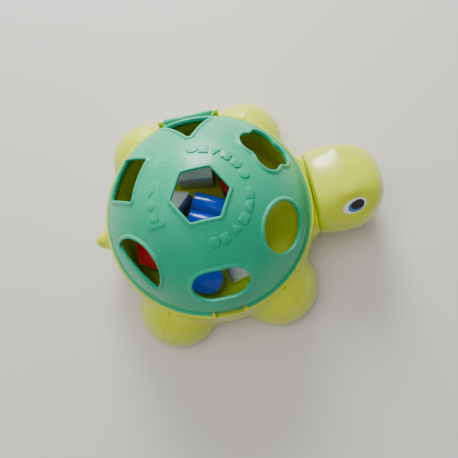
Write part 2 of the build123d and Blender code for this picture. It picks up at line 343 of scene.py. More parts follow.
    def finish(
        self,
        material: bpy.types.Material,
        body: str,
        slot: str,
        nodes: Sequence[str] = (),
        angle: float = 40.0,
    ) -> None:
        """Turns the piece to metres, dresses it and hangs it on its body.

        Args:
            material: The finish all over the piece.
            body: The frame's body that it rides on.
            slot: A material slot's name; not used.
            nodes: The frame's nodes that it stands for.
            angle: Edges sharper than this many degrees stay crisp.
        """
        self.thing.data.transform(Matrix.Scale(MM, 4))
        self.activate()
        bpy.ops.object.shade_smooth_by_angle(angle=radians(angle))
        self.thing.data.materials.clear()
        self.thing.data.materials.append(material)
        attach(self.thing, body)
        if nodes:
            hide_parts(*nodes)
        log.info("%s: %d faces on %s", self.thing.name, len(self.thing.data.polygons), body)


# ---------------------------------------------------------------- finishes
class Value:
    """A shader socket that takes part in Python's sums."""

    def __init__(self, graph: "Graph", socket: bpy.types.NodeSocket) -> None:
        """Wraps an output socket of a graph."""
        self.graph = graph
        self.socket = socket

    def _math(self, operation: str, *terms: "Value | float") -> "Value":
        """Adds one Math node over the terms."""
        return self.graph.add("ShaderNodeMath", {"operation": operation}, terms)

    def __add__(self, other: "Value | float") -> "Value":
        """Adds a number or a value."""
        return self._math("ADD", self, other)

    def __sub__(self, other: "Value | float") -> "Value":
        """Takes away a number or a value."""
        return self._math("SUBTRACT", self, other)

    def __rsub__(self, other: "Value | float") -> "Value":
        """Takes this value away from a number."""
        return self._math("SUBTRACT", other, self)

    def __mul__(self, other: "Value | float") -> "Value":
        """Multiplies by a number or a value."""
        return self._math("MULTIPLY", self, other)

    def __abs__(self) -> "Value":
        """The value without its sign."""
        return self._math("ABSOLUTE", self)

    __radd__ = __add__
    __rmul__ = __mul__

    def between(self, low: float, high: float) -> "Value":
        """Rises smoothly from 0 at low to 1 at high."""
        settings = {"interpolation_type": "SMOOTHSTEP"}
        inputs = {"Value": self, "From Min": low, "From Max": high}
        return self.graph.add("ShaderNodeMapRange", settings, inputs)


class Graph:
    """The node tree of one material."""

    def __init__(self, name: str) -> None:
        """Starts a material with an empty node tree."""
        self.material = bpy.data.materials.new(name)
        self.material.use_nodes = True
        self.material.node_tree.nodes.clear()

    def add(
        self, kind: str, settings: dict, inputs: dict | Sequence, output: str | int = 0
    ) -> Value:
        """Adds a node.

        Args:
            kind: The node's type.
            settings: Its own settings, which are set first.
            inputs: Values or links of its sockets, by name or in order.
            output: The output that is returned.

        Returns:
            The named output.
        """
        node = self.material.node_tree.nodes.new(kind)
        for name, value in settings.items():
            setattr(node, name, value)
        pairs = inputs.items() if isinstance(inputs, dict) else enumerate(inputs)
        for key, value in pairs:
            if isinstance(value, Value):
                self.material.node_tree.links.new(value.socket, node.inputs[key])
            else:
                node.inputs[key].default_value = value
        return Value(self, node.outputs[output])

    def place(self) -> Value:
        """The point on the piece, in metres."""
        return self.add("ShaderNodeTexCoord", {}, {}, "Object")

    def noise(
        self, where: Value, scale: float, detail: float = 2.0, distortion: float = 0.0
    ) -> Value:
        """A soft random pattern from 0 to 1, with scale features in a metre.

        Args:
            where: The point on the piece.
            scale: Features in a metre.
            detail: How many finer layers it has.
            distortion: How far it is swirled.

        Returns:
            The pattern.
        """
        inputs = {"Vector": where, "Scale": scale, "Detail": detail, "Distortion": distortion}
        return self.add("ShaderNodeTexNoise", {}, inputs)

    def stretched(self, where: Value, turn: Sequence[float], scale: Sequence[float]) -> Value:
        """The point turned and scaled, for patterns that run one way.

        Args:
            where: The point on the piece.
            turn: The turn about each axis, in degrees.
            scale: The scale along each axis.

        Returns:
            The changed point.
        """
        inputs = {"Vector": where, "Rotation": [radians(angle) for angle in turn], "Scale": scale}
        return self.add("ShaderNodeMapping", {}, inputs)

    def mix(self, share: Value, first: Value | tuple, second: Value | tuple) -> Value:
        """A colour between two, by a share.

        Args:
            share: 0 for the first and 1 for the second.
            first: A colour.
            second: Another colour.

        Returns:
            The mixed colour.
        """
        inputs = {"Factor": share, COLOUR_A: first, COLOUR_B: second}
        return self.add("ShaderNodeMix", {"data_type": "RGBA"}, inputs, COLOUR_RESULT)

    def bump(self, height: Value, strength: float, distance: float) -> Value:
        """A normal from a height, in metres.

        Args:
            height: The height's pattern.
            strength: How much of it shows, from 0 to 1.
            distance: How high its 1 stands, in metres.

        Returns:
            The normal.
        """
        inputs = {"Strength": strength, "Distance": distance, "Height": height}
        return self.add("ShaderNodeBump", {}, inputs)

    def shade(self, settings: dict) -> bpy.types.Material:
        """Ends the tree in one shader and returns the material.

        Args:
            settings: The shader's values and links, by socket.

        Returns:
            The material.
        """
        shader = self.add("ShaderNodeBsdfPrincipled", {}, settings)
        end = self.material.node_tree.nodes.new("ShaderNodeOutputMaterial")
        self.material.node_tree.links.new(shader.socket, end.inputs["Surface"])
        return self.material


def rgba(red: float, green: float, blue: float) -> tuple[float, float, float, float]:
    """A plain opaque colour."""
    return (red, green, blue, 1.0)


@dataclass(frozen=True)
class Plastic:
    """A moulded plastic, with the marks of play on it."""

    name: str
    colour: Colour
    deep: Colour
    worn: Colour
    roughness: float = 0.3
    coat: float = 0.3
    scatter: float = 0.0
    scuffs: float = 1.0

    def material(self) -> bpy.types.Material:
        """Builds cloudy colour, moulding ripple, hair scratches and rubbed patches."""
        graph = Graph(self.name)
        where = graph.place()
        cloud = graph.noise(where, scale=14.0, detail=3.0)
        patch = graph.noise(where, scale=38.0, detail=4.0, distortion=0.6).between(0.56, 0.72)
        speck = graph.noise(where, scale=900.0, detail=1.0).between(0.74, 0.80)
        scratch = self.scratches(graph, where)
        colour = graph.mix(cloud.between(0.3, 0.7), rgba(*self.deep), rgba(*self.colour))
        rub = (patch * 0.25 + scratch * 0.35 + speck * 0.3) * self.scuffs
        colour = graph.mix(rub, colour, rgba(*self.worn))
        ripple = graph.noise(where, scale=160.0) * 0.6
        tooth = graph.noise(where, scale=1400.0, detail=1.0) * 0.25
        height = ripple + tooth - scratch * (0.5 * self.scuffs)
        settings = {
            "Base Color": colour,
            "Roughness": self.roughness + patch * 0.12 + scratch * 0.15 + (cloud - 0.5) * 0.06,
            "Normal": graph.bump(height, strength=0.12, distance=0.0006),
            "IOR": 1.49,
            "Coat Weight": self.coat,
            "Coat Roughness": 0.12,
            "Subsurface Weight": self.scatter,
            "Subsurface Radius": (0.9, 0.9, 0.5),
            "Subsurface Scale": 0.004,
        }
        return graph.shade(settings)

    @staticmethod
    def scratches(graph: Graph, where: Value) -> Value:
        """Two fields of fine hair scratches, broken up into short runs."""
        fields = []
        for turn, along in (((20, 35, 10), 9.0), ((70, -25, 60), 7.0)):
            grain = graph.stretched(where, turn, (1.0, along, along))
            run = graph.noise(grain, scale=42.0, detail=3.0, distortion=0.3)
            fields.append(1 - abs(run - 0.5).between(0.0, 0.006))
        gaps = graph.noise(where, scale=60.0).between(0.52, 0.62)
        return (fields[0] + fields[1]) * gaps


@dataclass(frozen=True)
class Steel:
    """A drawn or plated steel, brushed along one axis."""

    name: str
    colour: Colour
    deep: Colour
    roughness: float = 0.32

    def material(self) -> bpy.types.Material:
        """Builds the material: draw lines and dull spots."""
        graph = Graph(self.name)
        where = graph.place()
        drawn = graph.stretched(where, turn=(0, 0, 0), scale=(1.0, 12.0, 12.0))
        lines = graph.noise(drawn, scale=420.0)
        spots = graph.noise(where, scale=260.0, detail=4.0).between(0.45, 0.75)
        settings = {
            "Base Color": graph.mix(spots, rgba(*self.colour), rgba(*self.deep)),
            "Roughness": self.roughness + spots * 0.2 + lines * 0.1,
            "Normal": graph.bump(lines, strength=0.2, distance=0.0001),
            "Metallic": 1.0,
        }
        return graph.shade(settings)


FINISHES: tuple[Plastic | Steel, ...] = (
    Plastic(
        "yellow_plastic", (0.60, 0.70, 0.0), (0.54, 0.63, 0.0), (0.72, 0.80, 0.05),
        roughness=0.27, coat=0.35, scatter=0.04,
    ),
    Plastic(
        "green_plastic", (0.0, 0.42, 0.21), (0.0, 0.36, 0.18), (0.03, 0.55, 0.34),
        roughness=0.4, coat=0.1,
    ),
    Plastic(
        "blue_plastic", (0.0, 0.085, 0.78), (0.0, 0.065, 0.66), (0.06, 0.25, 0.90),
        roughness=0.25, coat=0.4, scatter=0.02,
    ),
    Plastic(
        "white_plastic", (0.80, 0.84, 0.86), (0.72, 0.77, 0.80), (0.60, 0.62, 0.62),
        roughness=0.34, coat=0.25, scatter=0.08,
    ),
    Plastic(
        "red_plastic", (0.42, 0.0, 0.002), (0.34, 0.0, 0.002), (0.70, 0.10, 0.08),
        roughness=0.27, coat=0.35, scatter=0.03,
    ),
    Plastic(
        "natural_plastic", (0.78, 0.76, 0.68), (0.70, 0.68, 0.60), (0.60, 0.58, 0.52),
        roughness=0.45, coat=0.0, scatter=0.1,
    ),
    Plastic(
        "eye_white", (0.84, 0.85, 0.83), (0.79, 0.80, 0.79), (0.70, 0.70, 0.66),
        roughness=0.18, coat=0.5, scatter=0.05, scuffs=0.4,
    ),
    Plastic(
        "iris_print", (0.02, 0.27, 0.42), (0.01, 0.16, 0.32), (0.10, 0.42, 0.52),
        roughness=0.2, coat=0.6, scuffs=0.3,
    ),
    Plastic(
        "pupil_print", (0.008, 0.009, 0.010), (0.004, 0.004, 0.005), (0.03, 0.03, 0.03),
        roughness=0.16, coat=0.6, scuffs=0.4,
    ),
    Steel("screw_steel", (0.66, 0.66, 0.64), (0.48, 0.48, 0.47)),
    Steel("pin_steel", (0.62, 0.62, 0.62), (0.46, 0.46, 0.46), roughness=0.25),
    Steel("spring_steel", (0.34, 0.34, 0.35), (0.20, 0.20, 0.22), roughness=0.38),
)


# ---------------------------------------------------------------- outlines and the dome
@dataclass(frozen=True)
class Outline:
    """A closed flat outline: points, with a radius about them all.

    The points are a polygon's corners, the two ends of a slot, one centre, or a clover's lobes.
    """

    points: tuple[Pair, ...]
    radius: float
    lobed: bool = False
    melt: float = 1.2

    def distance(self, x: float, y: float) -> float:
        """How far a point lies outside the outline; negative inside.

        Args:
            x: The point's place across.
            y: The point's place upwards.

        Returns:
            The distance, in millimetres.
        """
        if self.lobed:
            gaps = sorted(hypot(x - a, y - b) - self.radius for a, b in self.points)
            near = max(self.melt - abs(gaps[0] - gaps[1]), 0.0) / self.melt
            return max(gaps[0] - near * near * self.melt / 4, hypot(x, y) - 4 * self.radius)
        best, inside = inf, False
        count = len(self.points)
        for index, (ax, ay) in enumerate(self.points):
            bx, by = self.points[(index + 1) % count]
            dx, dy = bx - ax, by - ay
            length = dx * dx + dy * dy
            along = (x - ax) * dx + (y - ay) * dy
            share = max(0.0, min(1.0, along / length)) if length else 0.0
            best = min(best, hypot(x - ax - share * dx, y - ay - share * dy))
            if (ay > y) != (by > y) and x < dx * (y - ay) / dy + ax:
                inside = not inside
        return (-best if inside else best) - self.radius

    def loop(self, growth: float, count: int) -> list[Pair]:
        """Points round the outline, grown by so much, found along rays from its middle.

        Args:
            growth: How far outside the outline the points lie.
            count: How many points.

        Returns:
            The points in order.
        """
        found = []
        for index in range(count):
            angle = 2 * pi * (index + 0.5) / count
            low, high = (LOBED_START if self.lobed else 0.0), FAR
            while high - low > CLOSE:
                middle = (low + high) / 2
                if self.distance(middle * cos(angle), middle * sin(angle)) < growth:
                    low = middle
                else:
                    high = middle
            found.append((low * cos(angle), low * sin(angle)))
        return found

    def stepped(self, x: float, y: float, growth: float) -> Pair:
        """The point straight across from (x, y) that lies growth outside the outline.

        Args:
            x: The point's place across.
            y: The point's place upwards.
            growth: How far outside the outline it ends.

        Returns:
            The new point.
        """
        small = 0.01
        slope_x = self.distance(x + small, y) - self.distance(x - small, y)
        slope_y = self.distance(x, y + small) - self.distance(x, y - small)
        size = hypot(slope_x, slope_y) or 1.0
        step = growth - self.distance(x, y)
        return x + step * slope_x / size, y + step * slope_y / size


def polygon(radius: float, sides: int, corner: float, turn: float = 0.0) -> Outline:
    """A regular polygon with rounded corners, by its corner radius about the centre.

    Args:
        radius: How far each rounded corner's tip would be without rounding.
        sides: How many sides.
        corner: The radius of the corners.
        turn: Where the first corner is, in degrees.

    Returns:
        The outline.
    """
    inner = radius - corner / cos(pi / sides)
    angles = [2 * pi * index / sides + radians(turn) for index in range(sides)]
    return Outline(tuple((inner * cos(angle), inner * sin(angle)) for angle in angles), corner)


def half_moon(radius: float, height: float, corner: float) -> Outline:
    """A disc cut off below by a straight edge, with rounded corners.

    Args:
        radius: The disc's radius.
        height: How high it is, from the straight edge up.
        corner: The radius of the corners.

    Returns:
        The outline.
    """
    centre = height / 2 - radius
    low = -height / 2 + corner
    reach = radius - corner
    start = atan2(low - centre, sqrt(reach**2 - (low - centre) ** 2))
    count = 32
    angles = [start + (pi - 2 * start) * index / count for index in range(count + 1)]
    points = tuple((reach * cos(angle), centre + reach * sin(angle)) for angle in angles)
    return Outline(points, corner)


def clover(spread: float, lobe: float) -> Outline:
    """Four overlapping round lobes, spread about the centre.

    Args:
        spread: How far the lobes' middles are from the centre.
        lobe: The radius of each lobe.

    Returns:
        The outline.
    """
    angles = [pi / 4 + pi / 2 * index for index in range(4)]
    points = tuple((spread * cos(angle), spread * sin(angle)) for angle in angles)
    return Outline(points, lobe, lobed=True)


OUTLINES = {
    "hexagon": polygon(24.6, 6, 2.0),
    "clover": clover(12.5, 13.0),
    "triangle": polygon(25.5, 3, 2.0, 90.0),
    "square": polygon(39.5 / sqrt(2), 4, 2.0, 45.0),
    "moon": half_moon(26.0, 29.5, 2.0),
    "stadium": Outline(((-8.25, 0.0), (8.25, 0.0)), 16.75),
    "disc": Outline(((0.0, 0.0),), 23.0),
}


@dataclass(frozen=True)
class Dome:
    """The shell's rounded surface, from the frame's place for it."""

    x: float
    base: float
    radius: float = 94.0
    height: float = 80.0
    power: float = 1.73

    def excess(self, point: Vector, growth: float) -> float:
        """Above 0 outside the surface moved out by growth, and below 0 inside it.

        Args:
            point: The point.
            growth: How far the surface is moved out.

        Returns:
            The excess, which has no unit.
        """
        across = hypot(point.x - self.x, point.y) / (self.radius + growth)
        up = max(point.z - self.base, 0.0) / (self.height + growth)
        return across**self.power + up**self.power - 1

    def profile(self, growth: float, low: float, high: float, count: int) -> list[Pair]:
        """Points (radius, height) on the surface, by the curve's own angle in degrees.

        Args:
            growth: How far the surface is moved out.
            low: The first point's angle.
            high: The last point's angle.
            count: How many points.

        Returns:
            The points, from low to high.
        """
        points = []
        for index in range(count):
            angle = radians(low + (high - low) * index / (count - 1))
            across = (self.radius + growth) * cos(angle) ** (2 / self.power)
            level = self.base + (self.height + growth) * sin(angle) ** (2 / self.power)
            points.append((across, level))
        return points

    def plane(self, radius: float, angle: float) -> Matrix:
        """A placement on the surface: x round the shell, y up the slope and z outwards.

        Args:
            radius: How far from the axis it touches.
            angle: Where it is round the axis, in degrees.

        Returns:
            The placement.
        """
        share = radius / self.radius
        rise = self.height * (1 - share**self.power) ** (1 / self.power)
        up = (rise / self.height) ** (self.power - 1) / self.height
        across = share ** (self.power - 1) / self.radius
        turn = radians(angle)
        normal = Vector((across * cos(turn), across * sin(turn), up)).normalized()
        side = Vector((-sin(turn), cos(turn), 0))
        place = Vector((self.x + radius * cos(turn), radius * sin(turn), self.base + rise))
        slope = normal.cross(side)
        return Matrix.Translation(place) @ Matrix((side, slope, normal)).transposed().to_4x4()

    def laid(self, place: Matrix, x: float, y: float, growth: float) -> Vector:
        """A point of a plane, carried along the plane's normal on to the grown surface.

        Args:
            place: The plane.
            x: The point's place across the plane.
            y: The point's place up the plane.
            growth: How far the surface is moved out.

        Returns:
            The point on the surface.
        """
        low, high = -LAY_REACH, LAY_REACH
        while high - low > CLOSE:
            middle = (low + high) / 2
            if self.excess(place @ Vector((x, y, middle)), growth) < 0:
                low = middle
            else:
                high = middle
        return place @ Vector((x, y, low))


# ---------------------------------------------------------------- shell
@dataclass
class Shell:
    """The hinged green shell: dome, openings with beads, flange, knuckle, tongue and relief."""

    dome: Dome
    hinge: Vector
    wall: float = 2.4
    steps: int = 224
    rings: int = 56
    flange_out: float = 2.4
    flange_height: float = 2.2
    flange_soft: float = 0.5
    flange_break: float = 17.0
    skin_top: float = 84.0
    knuckle: float = 24.0
    knuckle_radius: float = 2.4
    pin_radius: float = 1.05
    tongue: tuple[float, float, float] = (12.0, 2.0, 8.0)
    opening_radius: float = 73.5
    order: tuple[str, ...] = ("clover", "triangle", "square", "moon", "stadium", "disc")
    bead_width: float = 3.2
    bead_height: float = 1.6
    bead_foot: float = 3.9
    cut_reach: float = 14.0
    cut_slack: float = 0.2
    icon_radius: float = 40.5
    icon_size: float = 10.5
    icon_height: float = 1.1
    icon_angles: tuple[float, ...] = (
        -86, -72.6, -56.1, -40.2, -23.3, -8.8, 16.5, 31.6, 47.3, 62, 75.5, 89.1,
    )
    icon_whole: float = 50.0  # the size that an outline has at full scale
    plaque_radius: float = 41.5
    plaque_angle: float = 178.0
    plaque_half: Pair = (16.5, 7.0)
    plaque_corner: float = 2.5
    plaque_pitch: float = 11.0
    plaque_icons: tuple[str, ...] = ("triangle", "disc", "square")
    marks: tuple[Pair, ...] = ((57.0, -140.5), (59.7, -128.2), (45.0, 124.5))

    def build(self, material: bpy.types.Material) -> None:
        """Builds the whole shell as one piece.

        Args:
            material: The shell's finish.
        """
        shell = self.cap()
        shell.combine(self.flange(), "UNION")
        for fitting in self.fittings():
            shell.combine(fitting, "UNION")
        shell.combine(self.pin_bore(), "DIFFERENCE")
        places = self.openings()
        for name, place in places.items():
            shell.combine(self.cutter(name, place), "DIFFERENCE")
        shell.tidied()
        for name, place in places.items():
            self.rim(shell, OUTLINES[name], place)
        shell.tidied()
        shell.join([self.relief()])
        shell.finish(material, "lid", "green_plastic", ["shell"])

    def cap(self) -> Piece:
        """The dome's wall, spun, with a small hole where the crown's opening goes."""
        outer = self.dome.profile(0.0, 0.6, self.skin_top, self.rings)
        inner = self.dome.profile(-self.wall, 0.0, self.skin_top, self.rings)
        foot = [(self.dome.radius - 0.4, self.dome.base)]
        return Piece.spun("shell_skin", foot + outer + inner[::-1], self.dome.x, self.steps)

    def flange(self) -> Piece:
        """The rim's flange, broken over the tongue."""
        inside, outside = self.dome.radius - 1.2, self.dome.radius + self.flange_out
        low, high = self.dome.base, self.dome.base + self.flange_height
        soft = self.flange_soft
        outline = [(inside, low), (outside - soft, low), (outside, low + soft)]
        outline += [(outside, high - soft), (outside - soft, high), (outside - 2 * soft, high)]
        outline += [(inside, high)]
        ring = Piece.spun("shell_flange", outline, self.dome.x, self.steps)
        x, reach, half, past = self.dome.x, self.dome.radius, self.flange_break, 9
        corner = (x - half, -reach - past, low - 1)
        near = Piece.box("near_break", corner, (x + half, -reach + past, high + 1))
        return ring.combine(near, "DIFFERENCE")

    def fittings(self) -> list[Piece]:
        """The long hinge knuckle on its web, and the tongue."""
        x, y, z = self.dome.x, self.hinge.y, self.hinge.z
        half, radius = self.knuckle, self.knuckle_radius
        rod = Piece.rod("knuckle", (x - half, y, z), (x + half, y, z), radius)
        rod.bevel_corners(0.6)
        low = (x - half + 0.7, self.dome.radius - 3.2, z - 2.3)
        web = Piece.box("web", low, (x + half - 0.7, y, z + 0.3))
        pieces = [rod, web.combine(self.inside(), "DIFFERENCE")]
        half, thick, drop = self.tongue
        low = (self.dome.x - half, -self.dome.radius, self.dome.base - drop)
        high = (self.dome.x + half, -self.dome.radius + thick, self.dome.base + self.flange_height)
        pieces.append(Piece.box("tongue", low, high, 0.5))
        return pieces

    def inside(self) -> Piece:
        """A ring's space inside the middle of the wall, which trims the web."""
        base, radius = self.dome.base, self.dome.radius - self.wall / 2
        low, high, deep = base - 3, base + 8, radius - 30
        profile = [(deep, low), (radius, low), (radius, base + 1)]
        profile += [(radius - 0.3, high), (deep, high)]
        return Piece.spun("web_trim", profile, self.dome.x, self.steps)

    def pin_bore(self) -> Piece:
        """The bore for the hinge pin, right through the knuckle."""
        reach = 2 * self.knuckle
        x, y, z = self.dome.x, self.hinge.y, self.hinge.z
        return Piece.rod("pin_bore", (x - reach, y, z), (x + reach, y, z), self.pin_radius)

    def openings(self) -> dict[str, Matrix]:
        """Every opening's plane: one in the crown and six round the side."""
        crown = Matrix.Translation((self.dome.x, 0, self.dome.base + self.dome.height))
        places = {"hexagon": crown}
        for index, name in enumerate(self.order):
            places[name] = self.dome.plane(self.opening_radius, 30 + 60 * index)
        return places

    def cutter(self, name: str, place: Matrix) -> Piece:
        """A prism over an opening, out to the foot of its bead.

        Args:
            name: The opening's name.
            place: Its plane on the dome.

        Returns:
            The prism.
        """
        points = OUTLINES[name].loop(self.bead_foot, 144)
        foot = [place @ Vector((x, y, -self.cut_reach)) for x, y in points]
        piece = Piece.loop(f"cut_{name}", foot)
        out = (place.to_3x3() @ Vector((0, 0, 2 * self.cut_reach)))[:]
        with piece.editing(Element.EDGE):
            piece.fill_picked()
            bpy.ops.mesh.extrude_region_move(TRANSFORM_OT_translate={"value": out})
        return piece.tidied()

    def rim(self, shell: Piece, outline: Outline, place: Matrix) -> None:
        """Takes out one cut's wall, raises the bead and closes the wall again inside it.

        Args:
            shell: The shell, after every opening is cut.
            outline: The opening.
            place: Its plane on the dome.
        """
        back = place.inverted()
        normal = place.to_3x3() @ Vector((0, 0, 1))

        def cut(vertex: bmesh.types.BMVert) -> bool:
            """Whether a vertex lies on this opening's cut."""
            flat = back @ vertex.co
            if abs(flat.z) >= 2 * self.cut_reach:
                return False
            return abs(outline.distance(flat.x, flat.y) - self.bead_foot) < self.cut_slack

        def outer(vertex: bmesh.types.BMVert) -> bool:
            """Whether a vertex is nearer to the outer skin than to the inner one."""
            flat = back @ vertex.co
            return (vertex.co - self.dome.laid(place, flat.x, flat.y, 0)).length < self.wall / 2

        def wall_face(face: bmesh.types.BMFace) -> bool:
            """Whether a face is part of the cut's own wall."""
            return abs(face.normal.dot(normal)) < 0.3 and all(cut(vertex) for vertex in face.verts)

        def open_edge(edge: bmesh.types.BMEdge, outside: bool) -> bool:
            """Whether an edge is left open by the cut, on the skin that is asked for."""
            return edge.is_boundary and all(cut(v) and outer(v) == outside for v in edge.verts)

        def moved(point: Vector, growth: float, height: float) -> Vector:
            """A point of the bead's next loop."""
            flat = back @ point
            x, y = outline.stepped(flat.x, flat.y, growth)
            return self.dome.laid(place, x, y, height)

        with shell.editing(Element.FACE):
            shell.pick(Element.FACE, wall_face)
            bpy.ops.mesh.delete(type="FACE")
            bpy.ops.mesh.select_mode(type="EDGE")
            shell.pick(Element.EDGE, lambda edge: open_edge(edge, True))
            shell.extruded_along(moved, self.bead_steps())
            shell.pick(Element.EDGE, lambda edge: open_edge(edge, False))
            bpy.ops.mesh.bridge_edge_loops()

    def bead_steps(self) -> list[Pair]:
        """The bead's section: growth from the opening and height above the dome."""
        half, wall, count = self.bead_width / 2, self.wall, 10
        steps = [(self.bead_width + 0.28, 0.10)]
        for index in range(1, count):
            angle = pi * index / count
            steps.append((half + half * cos(angle), self.bead_height * (0.18 + 0.82 * sin(angle))))
        return steps + [(0.0, 0.0), (0.0, -wall * 0.75), (0.12, -wall * 0.93), (0.4, -wall)]

    def relief(self) -> Piece:
        """The plaque, the small shape icons and the moulding marks, joined in one piece."""
        names = list(OUTLINES)
        pieces = [self.plaque()]
        for index, angle in enumerate(self.icon_angles):
            outline = OUTLINES[names[index % len(names)]]
            place = self.dome.plane(self.icon_radius, angle)
            scale = self.icon_size / self.icon_whole
            pieces.append(self.emboss(f"icon_{index}", outline, place, scale, self.icon_height))
        for index, name in enumerate(self.plaque_icons):
            shift = Matrix.Translation((self.plaque_pitch * (index - 1), 0, 0))
            place = self.dome.plane(self.plaque_radius, self.plaque_angle) @ shift
            pieces.append(self.emboss(f"plaque_icon_{index}", OUTLINES[name], place, 0.18, 1.5))
        for index, (radius, angle) in enumerate(self.marks):
            place = self.dome.plane(radius, angle)
            dot = Outline(((0.0, 0.0),), 1.0)
            pieces.append(self.emboss(f"mark_{index}", dot, place, 1.0, 0.35))
        return pieces[0].join(pieces[1:])

    def emboss(
        self, name: str, outline: Outline, place: Matrix, scale: float, height: float
    ) -> Piece:
        """A small raised shape with rounded edges.

        Args:
            name: The object's name.
            outline: The shape.
            place: Its plane on the dome.
            scale: The outline's size, as a share of an opening's.
            height: How far its face stands above the dome.

        Returns:
            The closed piece.
        """
        soft = 0.4 * height
        steps = [(0.12, -0.1), (0.0, height - soft), (-0.3 * soft, height - 0.3 * soft)]
        return self.raised(name, outline, place, steps + [(-soft, height)], scale)

    def plaque(self) -> Piece:
        """A raised plaque with rounded edges that follows the dome."""
        wide, high = self.plaque_half
        corners = ((-wide, -high), (wide, -high), (wide, high), (-wide, high))
        outline = Outline(corners, self.plaque_corner)
        place = self.dome.plane(self.plaque_radius, self.plaque_angle)
        border = [(0.25, -0.1), (0.0, 0.6), (-0.2, 0.9), (-0.5, 1.0)]
        face = [(growth, 1.0) for growth in (-2.0, -3.5, -5.0, -6.5, -8.0, -9.0)]
        return self.raised("plaque", outline, place, border + face, foot=0.3, count=120)

    def raised(
        self,
        name: str,
        outline: Outline,
        place: Matrix,
        steps: Sequence[Pair],
        scale: float = 1.0,
        foot: float = 0.0,
        count: int = 72,
    ) -> Piece:
        """A closed raised form that follows the dome, with its foot under the surface.

        Args:
            name: The object's name.
            outline: The form's outline.
            place: Its plane on the dome.
            steps: Growth from the outline and height above the dome, from foot to face.
            scale: What the outline is scaled by.
            foot: How far the foot is grown from the outline.
            count: Points round the outline.

        Returns:
            The closed piece.
        """
        points = outline.loop(foot, count)
        spots = [self.dome.laid(place, x * scale, y * scale, -1.0) for x, y in points]
        piece = Piece.loop(name, spots)
        back = place.inverted()

        def moved(point: Vector, growth: float, rise: float) -> Vector:
            """A point of the next loop."""
            flat = back @ point
            x, y = outline.stepped(flat.x / scale, flat.y / scale, growth / scale)
            return self.dome.laid(place, x * scale, y * scale, rise)

        with piece.editing(Element.EDGE):
            piece.fill_picked()
            piece.extruded_along(moved, steps)
            bpy.ops.mesh.edge_face_add()
        return piece.tidied()


